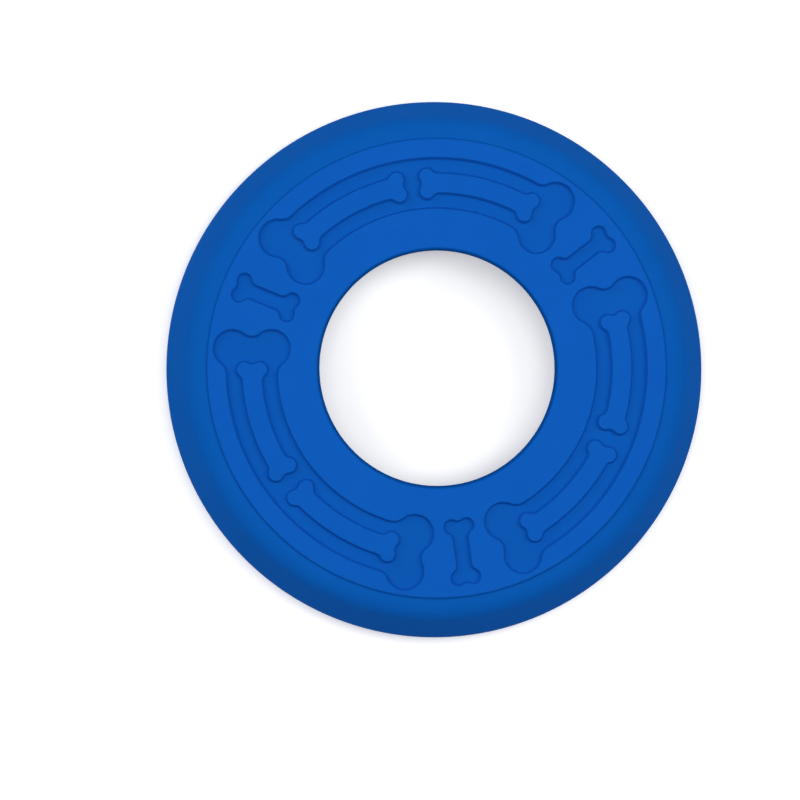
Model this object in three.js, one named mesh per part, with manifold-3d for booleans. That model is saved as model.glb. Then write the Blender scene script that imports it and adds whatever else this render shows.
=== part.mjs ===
// A soft rubber flying ring with bone-shaped relief, moulded in one piece. Millimetres,
// +Z up, with the origin on the ring's axis in the plane that the ring rests on.
import * as THREE from 'three';
import { mergeVertices } from 'three/addons/utils/BufferGeometryUtils.js';
import Module from 'manifold-3d';

const wasm = await Module();
wasm.setup();

// ---- Overall sizes ----
const OUTER_RADIUS = 127.5;
const RING_WIDTH = 72.7;
const HEIGHT = 30;
const WEB_THICKNESS = 4.4;

// ---- Rim: a low step down off the web, a narrow land, a round crown, a straight flank, a round
// nose where the ring is widest, and a lip that tucks in below it ----
const RIM_WIDTH = 20.9;
const STEP_DEPTH = 1.2;
const STEP_RUN = 0.9;
const LAND_WIDTH = 2;
const CROWN_RADIUS = 10.5;
const NOSE_RADIUS = 8;
const NOSE_HEIGHT = 7.5;
const LIP_THICKNESS = 5.6;
const LIP_DRAFT = 0.4;
const LIP_TUCK = 2;
const FOOT_FILLET = 0.8;

// ---- Hole: its edge is half an ellipse, as high as the web is thick ----
const HOLE_EDGE_RUN = 1.2;

// ---- Relief: long bone-shaped pockets, each round two raised bones, with a small bone between ----
const REPEATS = 3;
const RECESS_DEPTH = 2.4;
const WALL_DRAFT = 0.9;
const RELIEF_MARGIN = 2.4;
const END_GAP = 5.7;
const POCKET_LEAN = 0.65;
const MIDDLE_GAP = 6.1;
const FAR_SETBACK = 9.85;

const POCKET = {
  halfShaft: 11.6, lobeRadius: 8.6, outerOverhang: 6.4, innerOverhang: 5.6,
  outerFillet: 6, innerFillet: 7.6, notchFillet: 6,
};
const RAISED_BONE = {
  halfShaft: 4.8, lobeRadius: 3.8, outerOverhang: 2.4, innerOverhang: 2.7,
  outerFillet: 3, innerFillet: 3, notchFillet: 3,
};
const SMALL_BONE = {
  halfShaft: 3.3, lobeRadius: 3.3, overhang: 3.5, halfLength: 15.25,
  neckFillet: 3.6, notchFillet: 3.4,
};

// ---- Fineness of the faceted solid ----
const TURNS = 96;
const LIP_STEPS = 4;
const FILLET_STEPS = 3;
const CHORD_ERROR = 0.08;

const RUBBER_BLUE = 0x0f5bba;

// ---- Sizes that follow ----
const holeRadius = OUTER_RADIUS - RING_WIDTH;
const webRadius = OUTER_RADIUS - RIM_WIDTH;
const floorHeight = HEIGHT - RECESS_DEPTH;
const boneRadius = webRadius - RELIEF_MARGIN - POCKET.outerOverhang - POCKET.halfShaft;

// ---- Plane geometry ----
const heading = (from, to) => Math.atan2(to.y - from.y, to.x - from.x);
const fromTop = (radius, angle) => new THREE.Vector2(radius * Math.sin(angle), radius * Math.cos(angle));

// Points along an arc from one heading to another.
function arc(centre, radius, from, to, clockwise) {
  const sign = clockwise ? -1 : 1;
  const sweep = THREE.MathUtils.euclideanModulo(sign * (to - from), 2 * Math.PI);
  const count = Math.max(2, Math.ceil(sweep / (2 * Math.acos(1 - CHORD_ERROR / radius))));
  const points = [];
  for (let i = 0; i <= count; i += 1) {
    const angle = from + (sign * sweep * i) / count;
    points.push(new THREE.Vector2(centre.x + radius * Math.cos(angle), centre.y + radius * Math.sin(angle)));
  }
  return points;
}

// Points along a quarter ellipse, between headings given in quarter turns.
function quarter(centreX, centreY, width, height, from, to, steps) {
  const points = [];
  for (let i = 0; i <= steps; i += 1) {
    const angle = THREE.MathUtils.lerp(from, to, i / steps) * (Math.PI / 2);
    points.push(new THREE.Vector2(centreX + width * Math.cos(angle), centreY + height * Math.sin(angle)));
  }
  return points;
}

// The point at given distances from a and b, on the left of the way from a to b.
function meet(a, distanceA, b, distanceB) {
  const between = b.clone().sub(a);
  const length = between.length();
  const along = (distanceA ** 2 - distanceB ** 2 + length ** 2) / (2 * length);
  const across = Math.sqrt(distanceA ** 2 - along ** 2);
  const unit = between.divideScalar(length);
  return new THREE.Vector2(
    a.x + unit.x * along - unit.y * across,
    a.y + unit.y * along + unit.x * across,
  );
}

// Half an outline and its mirror image in the Y axis, with no point twice.
function mirrored(half) {
  const all = [...half, ...half.map((p) => new THREE.Vector2(-p.x, p.y)).reverse()];
  return all.filter((p, i) => p.distanceTo(all[(i + 1) % all.length]) > 1e-4);
}

// A bone bent round the ring's axis and centred on +Y. Its two shaft edges run round that
// axis, and each end has two round lobes, blended in by tangent fillets.
function bentBone(bone, halfAngle, lean) {
  const axis = new THREE.Vector2();
  const top = Math.PI / 2;
  const outerEdge = boneRadius + bone.halfShaft;
  const innerEdge = boneRadius - bone.halfShaft;
  const outerLobe = fromTop(outerEdge + bone.outerOverhang - bone.lobeRadius, halfAngle - lean);
  const innerLobe = fromTop(innerEdge - bone.innerOverhang + bone.lobeRadius, halfAngle + lean);
  const outerNeck = meet(axis, outerEdge + bone.outerFillet, outerLobe, bone.lobeRadius + bone.outerFillet);
  const innerNeck = meet(axis, innerEdge - bone.innerFillet, innerLobe, bone.lobeRadius + bone.innerFillet);
  const notchReach = bone.lobeRadius + bone.notchFillet;
  const notch = meet(outerLobe, notchReach, innerLobe, notchReach);
  return mirrored([
    ...arc(axis, outerEdge, top, heading(axis, outerNeck), true),
    ...arc(outerNeck, bone.outerFillet, heading(outerNeck, axis), heading(outerNeck, outerLobe), false),
    ...arc(outerLobe, bone.lobeRadius, heading(outerLobe, outerNeck), heading(outerLobe, notch), true),
    ...arc(notch, bone.notchFillet, heading(notch, outerLobe), heading(notch, innerLobe), false),
    ...arc(innerLobe, bone.lobeRadius, heading(innerLobe, notch), heading(innerLobe, innerNeck), true),
    ...arc(innerNeck, bone.innerFillet, heading(innerNeck, innerLobe), heading(axis, innerNeck), false),
    ...arc(axis, innerEdge, heading(axis, innerNeck), top, false),
  ]);
}

// A straight bone lying along +Y, its middle as far from the ring's axis as the other bones.
function straightBone(bone) {
  const lobe = new THREE.Vector2(
    bone.halfShaft + bone.overhang - bone.lobeRadius,
    bone.halfLength - bone.lobeRadius,
  );
  const neckX = bone.halfShaft + bone.neckFillet;
  const neckDrop = Math.sqrt((bone.lobeRadius + bone.neckFillet) ** 2 - (neckX - lobe.x) ** 2);
  const neck = new THREE.Vector2(neckX, lobe.y - neckDrop);
  const notchRise = Math.sqrt((bone.lobeRadius + bone.notchFillet) ** 2 - lobe.x ** 2);
  const notch = new THREE.Vector2(0, lobe.y + notchRise);
  const end = [
    ...arc(notch, bone.notchFillet, -Math.PI / 2, heading(notch, lobe), false),
    ...arc(lobe, bone.lobeRadius, heading(lobe, notch), heading(lobe, neck), true),
    ...arc(neck, bone.neckFillet, heading(neck, lobe), Math.PI, false),
  ];
  const otherEnd = end.map((p) => new THREE.Vector2(p.x, -p.y)).reverse();
  return mirrored([...end, ...otherEnd]).map((p) => new THREE.Vector2(p.x, p.y + boneRadius));
}

// ---- Solids ----
function solidOf(geometry) {
  geometry.deleteAttribute('normal');
  geometry.deleteAttribute('uv');
  const merged = mergeVertices(geometry);
  return new wasm.Manifold(new wasm.Mesh({
    numProp: 3,
    vertProperties: merged.attributes.position.array,
    triVerts: new Uint32Array(merged.index.array),
  }));
}

function geometryOf(solid) {
  const mesh = solid.getMesh();
  const geometry = new THREE.BufferGeometry();
  geometry.setAttribute('position', new THREE.BufferAttribute(mesh.vertProperties, 3));
  geometry.setIndex(new THREE.BufferAttribute(mesh.triVerts, 1));
  geometry.computeVertexNormals();
  return geometry;
}

// An upright prism from z to z + depth that stands `offset` outside the outline. Above and
// below it the walls close in at the mould's draft, over a height of `taper`.
function draftedPrism(outline, z, depth, taper, offset) {
  const geometry = new THREE.ExtrudeGeometry(new THREE.Shape(outline), {
    depth,
    bevelEnabled: true,
    bevelThickness: taper,
    bevelSize: (WALL_DRAFT * taper) / RECESS_DEPTH,
    bevelOffset: offset - (WALL_DRAFT * taper) / RECESS_DEPTH,
    bevelSegments: 1,
  });
  geometry.translate(0, 0, z);
  return solidOf(geometry);
}

// What a recess takes out of the web: widest at the web's face, narrowest at its floor.
function recess(outline) {
  return draftedPrism(outline, HEIGHT, RECESS_DEPTH / 2, RECESS_DEPTH, WALL_DRAFT / 2);
}

// What a raised bone leaves standing: widest at the recess floor, narrowest at its top.
function island(outline) {
  return draftedPrism(outline, floorHeight - RECESS_DEPTH, RECESS_DEPTH, 2 * RECESS_DEPTH, WALL_DRAFT / 2);
}

// ---- The blank: the cross-section turned about the ring's axis ----

// From the top of one circle, along the straight line that touches it and another circle lower
// down and further out, to that circle's widest point.
function crownAndFlank(crown, crownRadius, nose, noseRadius) {
  const across = Math.acos((crownRadius - noseRadius) / crown.distanceTo(nose));
  const normal = heading(crown, nose) + across;
  return [
    ...arc(crown, crownRadius, Math.PI / 2, normal, true),
    ...arc(nose, noseRadius, normal, 0, true),
  ];
}

function ringBlank() {
  const landRadius = webRadius + STEP_RUN;
  const shoulderTop = HEIGHT - STEP_DEPTH;
  const underside = HEIGHT - WEB_THICKNESS;
  const crown = new THREE.Vector2(landRadius + LAND_WIDTH, shoulderTop - CROWN_RADIUS);
  const nose = new THREE.Vector2(OUTER_RADIUS - NOSE_RADIUS, NOSE_HEIGHT);
  const lipInside = OUTER_RADIUS - LIP_THICKNESS;
  const footInside = lipInside + LIP_DRAFT + FOOT_FILLET;
  const footOutside = OUTER_RADIUS - LIP_TUCK;
  const edgeCentre = holeRadius + HOLE_EDGE_RUN;
  const halfWeb = WEB_THICKNESS / 2;
  const section = [
    ...quarter(edgeCentre, HEIGHT - halfWeb, HOLE_EDGE_RUN, halfWeb, 2, 1, FILLET_STEPS),
    new THREE.Vector2(webRadius, HEIGHT),
    new THREE.Vector2(landRadius, shoulderTop),
    ...crownAndFlank(crown, CROWN_RADIUS, nose, NOSE_RADIUS),
    ...quarter(footOutside, NOSE_HEIGHT, LIP_TUCK, NOSE_HEIGHT, 0, -1, LIP_STEPS).slice(1),
    ...quarter(footInside, FOOT_FILLET, FOOT_FILLET, FOOT_FILLET, -1, -2, FILLET_STEPS),
    ...crownAndFlank(crown, underside - crown.y, nose, NOSE_RADIUS - LIP_THICKNESS).reverse(),
    ...quarter(edgeCentre, underside + halfWeb, HOLE_EDGE_RUN, halfWeb, -1, -2, FILLET_STEPS).slice(0, -1),
  ];
  section.push(section[0].clone());
  section.reverse();
  const geometry = new THREE.LatheGeometry(section, TURNS);
  geometry.rotateX(Math.PI / 2);
  return solidOf(geometry);
}

// ---- The relief of one third of the web, centred on +Y ----
function pocketWithBones() {
  const innerLobeRadius = boneRadius - POCKET.halfShaft - POCKET.innerOverhang + POCKET.lobeRadius;
  const smallHalfWidth = SMALL_BONE.halfShaft + SMALL_BONE.overhang;
  const lean = THREE.MathUtils.degToRad(POCKET_LEAN);
  const endAngle = Math.PI / REPEATS - (smallHalfWidth + END_GAP + POCKET.lobeRadius) / innerLobeRadius;
  const pocketAngle = endAngle - lean;
  const farAngle = pocketAngle - FAR_SETBACK / boneRadius;
  const nearAngle = (MIDDLE_GAP / 2 + RAISED_BONE.lobeRadius) / boneRadius;
  const raisedBone = bentBone(RAISED_BONE, (farAngle - nearAngle) / 2, 0);
  let pocket = recess(bentBone(POCKET, pocketAngle, lean));
  for (const side of [-1, 1]) {
    const turn = (side * THREE.MathUtils.radToDeg(farAngle + nearAngle)) / 2;
    pocket = pocket.subtract(island(raisedBone).rotate([0, 0, turn]));
  }
  return pocket;
}

function flyingRing() {
  const pocket = pocketWithBones();
  const smallBone = recess(straightBone(SMALL_BONE));
  let ring = ringBlank();
  for (let i = 0; i < REPEATS; i += 1) {
    const turn = (i * 360) / REPEATS;
    ring = ring.subtract(pocket.rotate([0, 0, turn]));
    ring = ring.subtract(smallBone.rotate([0, 0, turn + 180 / REPEATS]));
  }
  const material = new THREE.MeshStandardMaterial({ color: RUBBER_BLUE, roughness: 0.6, metalness: 0 });
  const mesh = new THREE.Mesh(geometryOf(ring), material);
  mesh.name = 'flying_ring';
  return mesh;
}

const assembly = new THREE.Group();
assembly.add(flyingRing());

export default assembly;
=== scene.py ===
"""A soft rubber flying ring: the fine moulding, its matte finish, the light and the camera."""
from math import acos, atan2, ceil, cos, pi, radians, sin, sqrt, tan

import bmesh
import bpy
from mathutils import Matrix, Vector


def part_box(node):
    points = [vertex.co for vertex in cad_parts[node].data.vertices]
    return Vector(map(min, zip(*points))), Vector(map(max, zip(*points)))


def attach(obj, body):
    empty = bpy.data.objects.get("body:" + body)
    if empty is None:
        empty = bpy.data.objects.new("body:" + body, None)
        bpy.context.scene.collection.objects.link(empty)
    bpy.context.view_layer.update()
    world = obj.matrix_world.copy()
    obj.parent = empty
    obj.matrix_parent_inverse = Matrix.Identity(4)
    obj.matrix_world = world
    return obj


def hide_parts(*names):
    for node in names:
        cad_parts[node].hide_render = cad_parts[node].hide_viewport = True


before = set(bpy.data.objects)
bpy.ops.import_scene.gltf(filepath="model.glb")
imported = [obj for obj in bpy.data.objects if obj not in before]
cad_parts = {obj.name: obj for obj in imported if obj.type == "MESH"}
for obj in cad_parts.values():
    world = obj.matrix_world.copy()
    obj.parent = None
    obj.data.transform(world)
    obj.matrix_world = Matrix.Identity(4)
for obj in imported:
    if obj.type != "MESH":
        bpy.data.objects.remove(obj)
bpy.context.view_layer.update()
scene = bpy.context.scene

MM = 0.001
UP = Vector((0, 0, 1))

# ---- Sizes, in metres ----
ring_low, ring_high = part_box("flying_ring")
OUTER_RADIUS = ring_high.x
HEIGHT = ring_high.z
HOLE_RADIUS = OUTER_RADIUS - 72.7 * MM
WEB_RADIUS = OUTER_RADIUS - 20.9 * MM
WEB_THICKNESS = 4.4 * MM

STEP_DEPTH = 1.2 * MM
STEP_RUN = 0.9 * MM
STEP_ROUND = 0.4 * MM
LAND_WIDTH = 2.0 * MM
CROWN_RADIUS = 10.5 * MM
NOSE_RADIUS = 8.0 * MM
NOSE_HEIGHT = 7.5 * MM
LIP_THICKNESS = 5.6 * MM
LIP_DRAFT = 0.4 * MM
LIP_TUCK = 2.0 * MM
FOOT_ROUND = 0.8 * MM
HOLE_EDGE_RUN = 1.2 * MM
PARTING_RISE = 0.12 * MM
PARTING_HALF_WIDTH = 0.22 * MM

REPEATS = 3
RECESS_DEPTH = 2.4 * MM
WALL_DRAFT = 0.9 * MM
WALL_ROUND = 0.5 * MM
RELIEF_MARGIN = 2.4 * MM
END_GAP = 5.7 * MM
POCKET_LEAN = radians(0.65)
MIDDLE_GAP = 6.1 * MM
FAR_SETBACK = 9.85 * MM

POCKET = dict(half_shaft=11.6 * MM, lobe=8.6 * MM, outer_overhang=6.4 * MM, inner_overhang=5.6 * MM,
              outer_fillet=6.0 * MM, inner_fillet=7.6 * MM, notch_fillet=6.0 * MM)
RAISED_BONE = dict(half_shaft=4.8 * MM, lobe=3.8 * MM, outer_overhang=2.4 * MM, inner_overhang=2.7 * MM,
                   outer_fillet=3.0 * MM, inner_fillet=3.0 * MM, notch_fillet=3.0 * MM)
SMALL_BONE = dict(half_shaft=3.3 * MM, lobe=3.3 * MM, overhang=3.5 * MM, half_length=15.25 * MM,
                  neck_fillet=3.6 * MM, notch_fillet=3.4 * MM)

FLOOR_HEIGHT = HEIGHT - RECESS_DEPTH
BONE_RADIUS = WEB_RADIUS - RELIEF_MARGIN - POCKET["outer_overhang"] - POCKET["half_shaft"]

# ---- Rubber: tones are red, green and blue as the eye reads them, and mottled ones have two ends ----
WEB_TONES = (0.040, 0.340, 0.708), (0.065, 0.370, 0.748)
# Painted shade: the recess tones are the same rubber drawn darker, for the shade on the recess floors
# between their walls.
RECESS_SHADE_TONES = (0.033, 0.330, 0.682), (0.055, 0.360, 0.719)
# Painted shade: the rim tones are the same rubber drawn darker, for the shade on the rim's shoulder where it
# turns away from the light.
RIM_SHADE_TONES = (0.024, 0.333, 0.678), (0.049, 0.363, 0.715)
# Painted shade: a dark line colour, drawn in the step and round the hole's edge, where their walls are in
# shade.
SHADE_LINE_TONE = (0.0, 0.280, 0.590)
HOLE_SHADE_FULL = 0.8 * MM
HOLE_SHADE_END = 1.9 * MM
STEP_SHADE_STRENGTH = 0.6
MOTTLE_SHARE = 0.65
MOTTLE_PER_METRE = 38
BLOOM_PER_METRE = 210
GRAIN_PER_METRE = 1200
GRAIN_DEPTH = 0.05 * MM
GRAIN_STRENGTH = 0.4
ROUGHNESS = 0.62
ROUGHNESS_SPREAD = 0.12
GLOSS = 0.012

# ---- Surroundings ----
WHITE = (1, 1, 1, 1)
FLOOR_TONE = (0.98, 0.98, 0.98)
FLOOR_HALF_WIDTH = 4
NEAR_GLOW = 0.26
GLOW_START = 1.3 * OUTER_RADIUS
GLOW_END = 4 * OUTER_RADIUS
ROOM_LIGHT = 0.08

# ---- View: leans are degrees from straight up, to the view's right and to its top; the sensor and the
# lens are in millimetres ----
VIEW_TURN = Matrix.Rotation(radians(-7.75), 3, "Z")
EYE_DISTANCE = 0.950
EYE_LEAN = (-2.893, -1.515)
SIGHT_LEAN = (-1.887, -0.632)
SENSOR_WIDTH = 36
LENS = 89.76

# ---- Fineness: SUPPORT is the width of the flat strips that keep the flats flat beside a rounding ----
TURNS = 288
CHORD_ERROR = 0.008 * MM
CROWN_STEPS = 20
NOSE_STEPS = 12
ROUND_STEPS = 3
EDGE_STEPS = 8
SUPPORT = 0.2 * MM
WELD = 0.002 * MM


# ---- Drawing in the plane: an open line grows as its tip is swung about one centre after another ----
def heading(start, end):
    """The direction from one point to another, as an angle from +X."""
    return atan2(end.y - start.y, end.x - start.x)


def from_top(radius, angle):
    """The point at a radius and at an angle from +Y, turned clockwise."""
    return Vector((radius * sin(angle), radius * cos(angle), 0))


def swing(bm, tip, centre, end, clockwise):
    """Swings the tip about a centre until it has the given heading from it, and returns the new tip."""
    turn = -1 if clockwise else 1
    sweep = (turn * (end - heading(centre, tip.co))) % (2 * pi)
    radius = (tip.co - centre).length
    steps = max(2, ceil(sweep / (2 * acos(1 - CHORD_ERROR / radius))))
    made = bmesh.ops.spin(bm, geom=[tip], cent=centre, axis=UP, angle=turn * sweep, steps=steps)
    return next(v for v in made["geom_last"] if isinstance(v, bmesh.types.BMVert))


def meet(a, distance_a, b, distance_b):
    """The point at given distances from a and b, on the left of the way from a to b."""
    between = b - a
    along = (distance_a ** 2 - distance_b ** 2 + between.length_squared) / (2 * between.length)
    unit = between.normalized()
    return a + along * unit + sqrt(distance_a ** 2 - along ** 2) * UP.cross(unit)


def reflect(bm, axis):
    """Adds the line's mirror image in the plane through the ring's axis, joined where they meet."""
    line = bm.verts[:] + bm.edges[:]
    bmesh.ops.mirror(bm, geom=line, matrix=Matrix.Identity(4), merge_dist=WELD, axis=axis)


def bent_bone(bone, half_angle, lean, grow):
    """The outline of a bone bent round the ring's axis and centred on +Y, with two lobes at each end."""
    axis = Vector((0, 0, 0))
    outer_edge = BONE_RADIUS + bone["half_shaft"] + grow
    inner_edge = BONE_RADIUS - bone["half_shaft"] - grow
    lobe = bone["lobe"] + grow
    outer_fillet, inner_fillet = bone["outer_fillet"] - grow, bone["inner_fillet"] - grow
    notch_fillet = bone["notch_fillet"] - grow
    outer = from_top(outer_edge + bone["outer_overhang"] - lobe, half_angle - lean)
    inner = from_top(inner_edge - bone["inner_overhang"] + lobe, half_angle + lean)
    outer_neck = meet(axis, outer_edge + outer_fillet, outer, lobe + outer_fillet)
    inner_neck = meet(axis, inner_edge - inner_fillet, inner, lobe + inner_fillet)
    notch = meet(outer, lobe + notch_fillet, inner, lobe + notch_fillet)
    bm = bmesh.new()
    tip = bm.verts.new((0, outer_edge, 0))
    tip = swing(bm, tip, axis, heading(axis, outer_neck), True)
    tip = swing(bm, tip, outer_neck, heading(outer_neck, outer), False)
    tip = swing(bm, tip, outer, heading(outer, notch), True)
    tip = swing(bm, tip, notch, heading(notch, inner), False)
    tip = swing(bm, tip, inner, heading(inner, inner_neck), True)
    tip = swing(bm, tip, inner_neck, heading(axis, inner_neck), False)
    swing(bm, tip, axis, pi / 2, False)
    reflect(bm, "X")
    return bm


def straight_bone(bone, grow):
    """The outline of a straight bone along +Y, its middle as far from the ring's axis as the others."""
    lobe_radius = bone["lobe"] + grow
    neck_fillet, notch_fillet = bone["neck_fillet"] - grow, bone["notch_fillet"] - grow
    half_shaft = bone["half_shaft"] + grow
    lobe = Vector((half_shaft + bone["overhang"] - lobe_radius, bone["half_length"] + grow - lobe_radius, 0))
    neck_x = half_shaft + neck_fillet
    neck = Vector((neck_x, lobe.y - sqrt((lobe_radius + neck_fillet) ** 2 - (neck_x - lobe.x) ** 2), 0))
    notch = Vector((0, lobe.y + sqrt((lobe_radius + notch_fillet) ** 2 - lobe.x ** 2), 0))
    bm = bmesh.new()
    tip = bm.verts.new(notch - Vector((0, notch_fillet, 0)))
    tip = swing(bm, tip, notch, heading(notch, lobe), False)
    tip = swing(bm, tip, lobe, heading(lobe, neck), True)
    tip = swing(bm, tip, neck, pi, False)
    side = bmesh.ops.extrude_vert_indiv(bm, verts=[tip])
    bmesh.ops.translate(bm, verts=side["verts"], vec=(0, -tip.co.y, 0))
    reflect(bm, "Y")
    reflect(bm, "X")
    bmesh.ops.translate(bm, verts=bm.verts, vec=(0, BONE_RADIUS, 0))
    return bm


# ---- Relief: each outline is filled with one face, which is inset down or up its wall ----
def wall_steps():
    """How far in and how far down each inset goes: over the rounded top edge, down the wall at the
    mould's draft, and round into the floor. A narrow flat strip at each end keeps the flats flat."""
    slope = atan2(RECESS_DEPTH, WALL_DRAFT)
    turns = [(WALL_ROUND * sin(slope * i / ROUND_STEPS), WALL_ROUND * (1 - cos(slope * i / ROUND_STEPS)))
             for i in range(ROUND_STEPS + 1)]
    top = [(b[0] - a[0], b[1] - a[1]) for a, b in zip(turns, turns[1:])]
    straight = RECESS_DEPTH - 2 * turns[-1][1]
    return [(SUPPORT, 0)] + top + [(straight / tan(slope), straight)] + top[::-1] + [(SUPPORT, 0)]


WALL_STEPS = wall_steps()
HALF_WALL = sum(width for width, _ in WALL_STEPS) / 2


def boundary(bm, height):
    """The open edges that lie at a height."""
    return [e for e in bm.edges if e.is_boundary and all(abs(v.co.z - height) < WELD for v in e.verts)]


def inset_wall(bm, height, direction):
    """Fills a bm's one closed line at a height, and insets the face up or down the wall."""
    bmesh.ops.translate(bm, verts=bm.verts, vec=(0, 0, height))
    face = bmesh.ops.contextual_create(bm, geom=bm.edges[:])["faces"][0]
    if face.normal.z < 0:
        face.normal_flip()
    for width, depth in WALL_STEPS:
        bmesh.ops.inset_individual(bm, faces=[face], thickness=width, depth=direction * depth,
                                   use_even_offset=True)
    return face


def add_copy(target, source, angle):
    """Adds a copy of one bm to another, turned about the ring's axis."""
    mesh = bpy.data.meshes.new("part")
    source.to_mesh(mesh)
    mesh.transform(Matrix.Rotation(angle, 4, "Z"))
    target.from_mesh(mesh)
    bpy.data.meshes.remove(mesh)


def raised_bone(half_angle):
    """One bone in relief, centred on +Y, that rises from the pocket's floor."""
    bm = bent_bone(RAISED_BONE, half_angle, 0, HALF_WALL)
    inset_wall(bm, FLOOR_HEIGHT, 1)
    return bm


def pocket_with_bones():
    """One long pocket, centred on +Y, with the two raised bones that stand on its floor."""
    inner_lobe_radius = BONE_RADIUS - POCKET["half_shaft"] - POCKET["inner_overhang"] + POCKET["lobe"]
    small_half_width = SMALL_BONE["half_shaft"] + SMALL_BONE["overhang"]
    end_angle = pi / REPEATS - (small_half_width + END_GAP + POCKET["lobe"]) / inner_lobe_radius
    pocket_angle = end_angle - POCKET_LEAN
    far_angle = pocket_angle - FAR_SETBACK / BONE_RADIUS
    near_angle = (MIDDLE_GAP / 2 + RAISED_BONE["lobe"]) / BONE_RADIUS
    bm = bent_bone(POCKET, pocket_angle, POCKET_LEAN, HALF_WALL)
    floor = inset_wall(bm, HEIGHT, -1)
    bmesh.ops.delete(bm, geom=[floor], context="FACES_ONLY")
    bone = raised_bone((far_angle - near_angle) / 2)
    for side in (-1, 1):
        add_copy(bm, bone, side * (far_angle + near_angle) / 2)
    bone.free()
    bmesh.ops.triangle_fill(bm, use_beauty=True, normal=UP, edges=boundary(bm, FLOOR_HEIGHT))
    return bm


def small_recess():
    """The small bone-shaped recess, centred on +Y."""
    bm = straight_bone(SMALL_BONE, HALF_WALL)
    inset_wall(bm, HEIGHT, -1)
    return bm


# ---- The turned body: a section through the rim, lip and web, spun about the ring's axis ----
def draw_to(bm, tip, x, z):
    """Draws a straight line from the tip to a point in the XZ plane, and returns the new tip."""
    end = bmesh.ops.extrude_vert_indiv(bm, verts=[tip])["verts"][0]
    end.co = (x, 0, z)
    return end


def draw_arc(bm, tip, centre, turn, steps):
    """Draws an arc by turning the tip about a centre, and returns the new tip. A positive turn goes
    from upright to outward."""
    made = bmesh.ops.spin(bm, geom=[tip], cent=centre, axis=(0, 1, 0), angle=turn, steps=steps)
    return next(v for v in made["geom_last"] if isinstance(v, bmesh.types.BMVert))


def draw_quarter(bm, tip, x, z, centre_x, centre_z, steps):
    """Draws a quarter ellipse to a point: a quarter circle, stretched the other way to meet it."""
    centre = Vector((centre_x, 0, centre_z))
    start_arm, end_arm = tip.co - centre, Vector((x, 0, z)) - centre
    turn = pi / 2 if start_arm.cross(end_arm).y > 0 else -pi / 2
    stretch = end_arm.length / start_arm.length
    old = set(bm.verts)
    tip = draw_arc(bm, tip, centre, turn, steps)
    scale = (stretch, 1, 1) if abs(end_arm.x) > abs(end_arm.z) else (1, 1, stretch)
    new = [v for v in bm.verts if v not in old]
    bmesh.ops.scale(bm, vec=scale, space=Matrix.Translation(-centre), verts=new)
    return tip


def flank_normal(crown, crown_radius, nose, nose_radius):
    """The heading, up from level, of the normal to the line that touches both circles."""
    between = nose - crown
    return atan2(between.z, between.x) + acos((crown_radius - nose_radius) / between.length)


def round_corners(bm, corners, radius, steps):
    """Rounds the section at some of its corners."""
    bmesh.ops.bevel(bm, geom=corners, offset=radius, offset_type="OFFSET", segments=steps, profile=0.5,
                    affect="VERTICES", material=-1)


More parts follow.
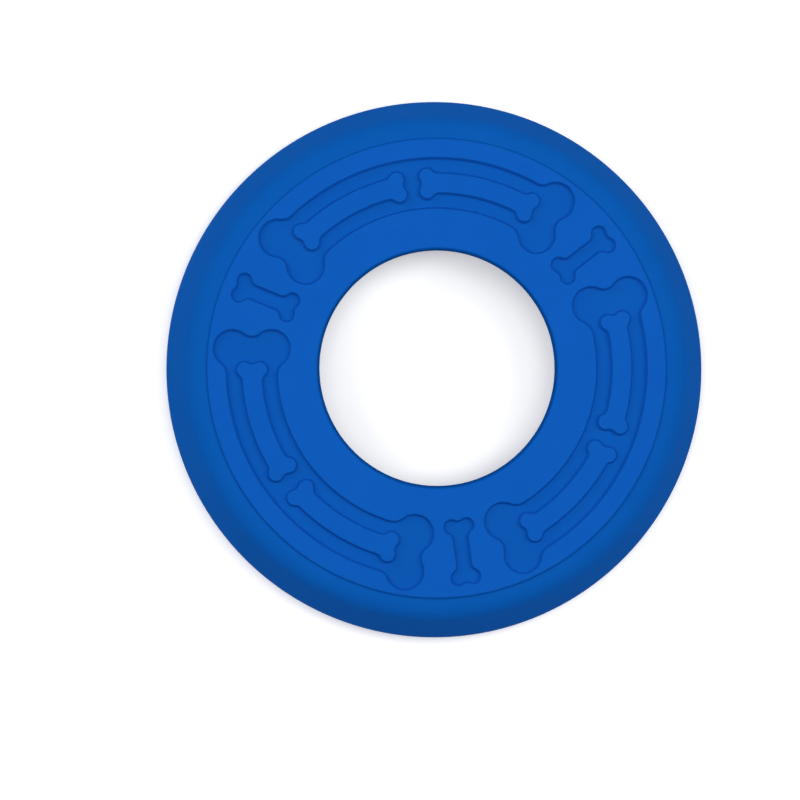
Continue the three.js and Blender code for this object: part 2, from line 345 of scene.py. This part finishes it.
def turned_body():
    """Everything but the top face of the web, which is left open between two circles."""
    land_radius = WEB_RADIUS + STEP_RUN
    shoulder_top = HEIGHT - STEP_DEPTH
    underside = HEIGHT - WEB_THICKNESS
    lip_inside = OUTER_RADIUS - LIP_THICKNESS
    body_radius = OUTER_RADIUS - PARTING_RISE
    foot_outside = OUTER_RADIUS - LIP_TUCK
    line_top, line_foot = NOSE_HEIGHT + PARTING_HALF_WIDTH, NOSE_HEIGHT - PARTING_HALF_WIDTH
    crown = Vector((land_radius + LAND_WIDTH, 0, shoulder_top - CROWN_RADIUS))
    nose = Vector((body_radius - NOSE_RADIUS, 0, line_top))
    inner_nose = Vector((OUTER_RADIUS - NOSE_RADIUS, 0, NOSE_HEIGHT))
    under_crown_radius = underside - crown.z
    inner_nose_radius = NOSE_RADIUS - LIP_THICKNESS
    outside = flank_normal(crown, CROWN_RADIUS, nose, NOSE_RADIUS)
    inside = flank_normal(crown, under_crown_radius, inner_nose, inner_nose_radius)
    hole_edge = HOLE_RADIUS + HOLE_EDGE_RUN
    middle = HEIGHT - WEB_THICKNESS / 2

    bm = bmesh.new()
    tip = bm.verts.new((WEB_RADIUS - STEP_ROUND - SUPPORT, 0, HEIGHT))
    step_top = tip = draw_to(bm, tip, WEB_RADIUS, HEIGHT)
    step_foot = tip = draw_to(bm, tip, land_radius, shoulder_top)
    tip = draw_to(bm, tip, crown.x, shoulder_top)
    tip = draw_arc(bm, tip, crown, pi / 2 - outside, CROWN_STEPS)
    tip = draw_to(bm, tip, nose.x + NOSE_RADIUS * cos(outside), nose.z + NOSE_RADIUS * sin(outside))
    tip = draw_arc(bm, tip, nose, outside, NOSE_STEPS)
    tip = draw_quarter(bm, tip, OUTER_RADIUS, NOSE_HEIGHT, body_radius, NOSE_HEIGHT, ROUND_STEPS)
    tip = draw_quarter(bm, tip, body_radius, line_foot, body_radius, NOSE_HEIGHT, ROUND_STEPS)
    tip = draw_quarter(bm, tip, foot_outside, 0, foot_outside, line_foot, EDGE_STEPS)
    foot_edge = tip = draw_to(bm, tip, lip_inside + LIP_DRAFT, 0)
    tip = draw_to(bm, tip, lip_inside, NOSE_HEIGHT)
    tip = draw_arc(bm, tip, inner_nose, -inside, NOSE_STEPS)
    tip = draw_to(bm, tip, crown.x + under_crown_radius * cos(inside),
                  crown.z + under_crown_radius * sin(inside))
    tip = draw_arc(bm, tip, crown, inside - pi / 2, CROWN_STEPS)
    tip = draw_to(bm, tip, crown.x - SUPPORT, underside)
    tip = draw_to(bm, tip, hole_edge + SUPPORT, underside)
    tip = draw_to(bm, tip, hole_edge, underside)
    tip = draw_quarter(bm, tip, HOLE_RADIUS, middle, hole_edge, middle, EDGE_STEPS)
    tip = draw_quarter(bm, tip, hole_edge, HEIGHT, hole_edge, middle, EDGE_STEPS)
    draw_to(bm, tip, hole_edge + SUPPORT, HEIGHT)

    round_corners(bm, [step_top, step_foot], STEP_ROUND, ROUND_STEPS)
    round_corners(bm, [foot_edge], FOOT_ROUND, EDGE_STEPS)
    bmesh.ops.spin(bm, geom=bm.verts[:] + bm.edges[:], cent=(0, 0, 0), axis=UP, angle=2 * pi, steps=TURNS,
                   use_merge=True)
    return bm


def moulding():
    """The whole ring: the turned body, the relief, and the web's top face filled in between them."""
    bm = turned_body()
    pocket, small = pocket_with_bones(), small_recess()
    for i in range(REPEATS):
        add_copy(bm, pocket, 2 * pi * i / REPEATS)
        add_copy(bm, small, 2 * pi * (i + 0.5) / REPEATS)
    pocket.free()
    small.free()
    bmesh.ops.triangle_fill(bm, use_beauty=True, normal=UP, edges=boundary(bm, HEIGHT))
    bmesh.ops.triangulate(bm, faces=[f for f in bm.faces if len(f.verts) > 4])
    bmesh.ops.recalc_face_normals(bm, faces=bm.faces)
    for face in bm.faces:
        face.smooth = True
    mesh = bpy.data.meshes.new("ring_moulding")
    bm.to_mesh(mesh)
    bm.free()
    piece = bpy.data.objects.new("ring_moulding", mesh)
    scene.collection.objects.link(piece)
    return piece


# ---- Materials ----
class Value:
    """An output of a shader's node. Python's arithmetic on outputs that are numbers adds Math nodes."""

    def __init__(self, shader, socket):
        self.shader, self.socket = shader, socket

    def _math(self, operation, a, b):
        return self.shader.add("ShaderNodeMath", {"operation": operation}, {0: a, 1: b})

    def __add__(self, other):
        return self._math("ADD", self, other)

    __radd__ = __add__

    def __sub__(self, other):
        return self._math("SUBTRACT", self, other)

    def __rsub__(self, other):
        return self._math("SUBTRACT", other, self)

    def __mul__(self, other):
        return self._math("MULTIPLY", self, other)

    __rmul__ = __mul__


class Shader:
    """The node tree of a material or of the world. Each node comes from add()."""

    def __init__(self, owner):
        owner.use_nodes = True
        self.owner = owner
        self.tree = owner.node_tree
        self.tree.nodes.clear()

    def add(self, kind, settings, inputs, output=0):
        """Adds a node, with its settings first and then its sockets, and returns one of its outputs."""
        node = self.tree.nodes.new(kind)
        for name, value in settings.items():
            setattr(node, name, value)
        for name, value in inputs.items():
            if isinstance(value, Value):
                self.tree.links.new(value.socket, node.inputs[name])
            else:
                node.inputs[name].default_value = value
        return Value(self, node.outputs[output]) if node.outputs else None

    def place(self):
        """Where a point lies on its piece, in metres."""
        return self.add("ShaderNodeTexCoord", {}, {}, "Object")

    def noise(self, place, scale, detail, roughness=0.5):
        return self.add("ShaderNodeTexNoise", {}, {"Vector": place, "Scale": scale, "Detail": detail,
                                                   "Roughness": roughness}, "Fac")

    def radius(self, place):
        """How far a place is from the ring's axis."""
        flat = self.add("ShaderNodeVectorMath", {"operation": "MULTIPLY"}, {0: place, 1: (1, 1, 0)})
        return self.add("ShaderNodeVectorMath", {"operation": "LENGTH"}, {0: flat}, "Value")

    def height(self, place):
        return self.add("ShaderNodeSeparateXYZ", {}, {"Vector": place}, "Z")

    def ramp(self, value, low, high):
        """Rises from 0 to 1 as a value goes from low to high."""
        return self.add("ShaderNodeMapRange", {"interpolation_type": "SMOOTHSTEP"},
                        {"Value": value, "From Min": low, "From Max": high}, "Result")

    def blend(self, factor, a, b):
        """A colour between two others."""
        return self.add("ShaderNodeMix", {"data_type": "RGBA"}, {0: factor, 6: a, 7: b}, 2)

    def seen(self):
        """1 for what the camera sees, straight or by way of gloss or glass, and 0 for all other light."""
        straight, gloss, glass = (self.add("ShaderNodeLightPath", {}, {}, f"Is {kind} Ray")
                                  for kind in ("Camera", "Glossy", "Transmission"))
        return straight + gloss + glass

    def finish(self, surface, output="ShaderNodeOutputMaterial"):
        self.add(output, {}, {"Surface": surface})
        return self.owner


def colour(red, green, blue):
    """A colour given as the eye reads it, from 0 to 1, made linear."""
    linear = [c / 12.92 if c < 0.04045 else ((c + 0.055) / 1.055) ** 2.4 for c in (red, green, blue)]
    return (*linear, 1)


def rubber():
    """Matte moulded rubber: an even blue with a faint mottle, and a fine grain from the mould's skin.
    Painted shade darkens it a little on the rim and in the recesses, and more as lines in the step and at
    the hole's edge."""
    shader = Shader(bpy.data.materials.new("matte_blue_rubber"))
    place = shader.place()
    mottle = shader.noise(place, MOTTLE_PER_METRE, detail=3)
    bloom = shader.noise(place, BLOOM_PER_METRE, detail=4, roughness=0.6)
    grain = shader.noise(place, GRAIN_PER_METRE, detail=3, roughness=0.7)
    mix = MOTTLE_SHARE * mottle + (1 - MOTTLE_SHARE) * bloom
    web, recess, rim = (shader.blend(mix, colour(*deeper), colour(*lighter))
                        for deeper, lighter in (WEB_TONES, RECESS_SHADE_TONES, RIM_SHADE_TONES))

    radius, height = shader.radius(place), shader.height(place)
    # Painted shade: beyond the step the rim is drawn in the darker rim tones.
    on_rim = shader.ramp(radius, WEB_RADIUS, WEB_RADIUS + STEP_RUN)
    on_top = shader.ramp(height, HEIGHT - WEB_THICKNESS, FLOOR_HEIGHT)
    # Painted shade: the recess floors are drawn in the darker recess tones.
    recess_shade = 1 - shader.ramp(height, FLOOR_HEIGHT, FLOOR_HEIGHT + WALL_ROUND)
    # Painted shade: a dark line drawn round the hole's rounded edge, where its wall is in shade.
    hole_edge = 1 - shader.ramp(radius, HOLE_RADIUS + HOLE_SHADE_FULL, HOLE_RADIUS + HOLE_SHADE_END)
    # Painted shade: a dark line drawn along the step from the web down to the rim.
    step_shade_line = 4 * on_rim * (1 - on_rim) * on_top
    surface = shader.blend(on_rim, shader.blend(recess_shade, web, recess), rim)
    base = shader.blend(hole_edge + STEP_SHADE_STRENGTH * step_shade_line, surface, colour(*SHADE_LINE_TONE))

    bump = shader.add("ShaderNodeBump", {},
                      {"Height": grain, "Strength": GRAIN_STRENGTH, "Distance": GRAIN_DEPTH}, "Normal")
    skin = shader.add("ShaderNodeBsdfPrincipled", {},
                      {"Base Color": base, "Roughness": ROUGHNESS + ROUGHNESS_SPREAD * bloom,
                       "Normal": bump, "Specular IOR Level": GLOSS})
    return shader.finish(skin)


def white_floor():
    """A plain white floor, which takes the ring's shadow. It is seen a little brighter than it lights the
    ring, and far from the ring, where the lamps don't reach, it is seen as plain white."""
    shader = Shader(bpy.data.materials.new("white_floor"))
    far = shader.ramp(shader.radius(shader.place()), GLOW_START, GLOW_END)
    white = shader.add("ShaderNodeEmission", {}, {"Color": WHITE, "Strength": 1})
    level = shader.seen() * (NEAR_GLOW + (1 - NEAR_GLOW) * far)
    glow = shader.add("ShaderNodeMixShader", {}, {0: level, 2: white})
    matt = shader.add("ShaderNodeBsdfDiffuse", {}, {"Color": colour(*FLOOR_TONE)})
    return shader.finish(shader.add("ShaderNodeAddShader", {}, {0: matt, 1: glow}))


def studio():
    """A dim even light from all round, which is seen as plain white."""
    shader = Shader(bpy.data.worlds.new("studio"))
    dim = shader.add("ShaderNodeBackground", {}, {"Color": WHITE, "Strength": ROOM_LIGHT})
    white = shader.add("ShaderNodeBackground", {}, {"Color": WHITE, "Strength": 1})
    surface = shader.add("ShaderNodeMixShader", {}, {0: shader.seen(), 1: dim, 2: white})
    return shader.finish(surface, "ShaderNodeOutputWorld")


# ---- The ring ----
ring = moulding()
ring.data.materials.append(rubber())
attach(ring, "root")
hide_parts("flying_ring")

# ---- Floor ----
floor_bm = bmesh.new()
bmesh.ops.create_grid(floor_bm, x_segments=1, y_segments=1, size=FLOOR_HALF_WIDTH)
floor_mesh = bpy.data.meshes.new("floor")
floor_bm.to_mesh(floor_mesh)
floor_bm.free()
floor = bpy.data.objects.new("floor", floor_mesh)
floor.data.materials.append(white_floor())
scene.collection.objects.link(floor)


# ---- Light and camera: in the view, the ring's +Y points a little left of straight up ----
def lean(right, up):
    """The direction that leans from straight up by two angles, to the view's right and to its top."""
    return (VIEW_TURN @ Vector((tan(radians(right)), tan(radians(up)), 1))).normalized()


def lamp(name, right, up, distance, size, power):
    """Adds a soft disc lamp that shines at the ring's middle, and that the camera doesn't see."""
    data = bpy.data.lights.new(name, "AREA")
    data.shape, data.size, data.energy = "DISK", size, power
    light = bpy.data.objects.new(name, data)
    towards = lean(right, up)
    light.location = distance * towards
    light.rotation_euler = towards.to_track_quat("Z", "Y").to_euler()
    light.visible_camera = False
    scene.collection.objects.link(light)


lamp("overhead_lamp", right=2, up=3, distance=1.1, size=0.8, power=5.4)
lamp("right_lamp", right=40, up=12, distance=1.4, size=0.9, power=6.6)
lamp("left_lamp", right=-56, up=41, distance=1.4, size=0.9, power=4.6)
lamp("front_lamp", right=-30, up=-14, distance=1.4, size=0.9, power=3.9)
scene.world = studio()

camera_data = bpy.data.cameras.new("camera")
camera_data.sensor_width, camera_data.lens = SENSOR_WIDTH, LENS
camera = bpy.data.objects.new("camera", camera_data)
camera.location = Vector((0, 0, NOSE_HEIGHT)) + EYE_DISTANCE * lean(*EYE_LEAN)
back = lean(*SIGHT_LEAN)
across = (VIEW_TURN @ Vector((0, 1, 0))).cross(back).normalized()
camera.rotation_euler = Matrix((across, back.cross(across), back)).transposed().to_euler()
scene.collection.objects.link(camera)
scene.camera = camera

scene.view_settings.view_transform = "Standard"
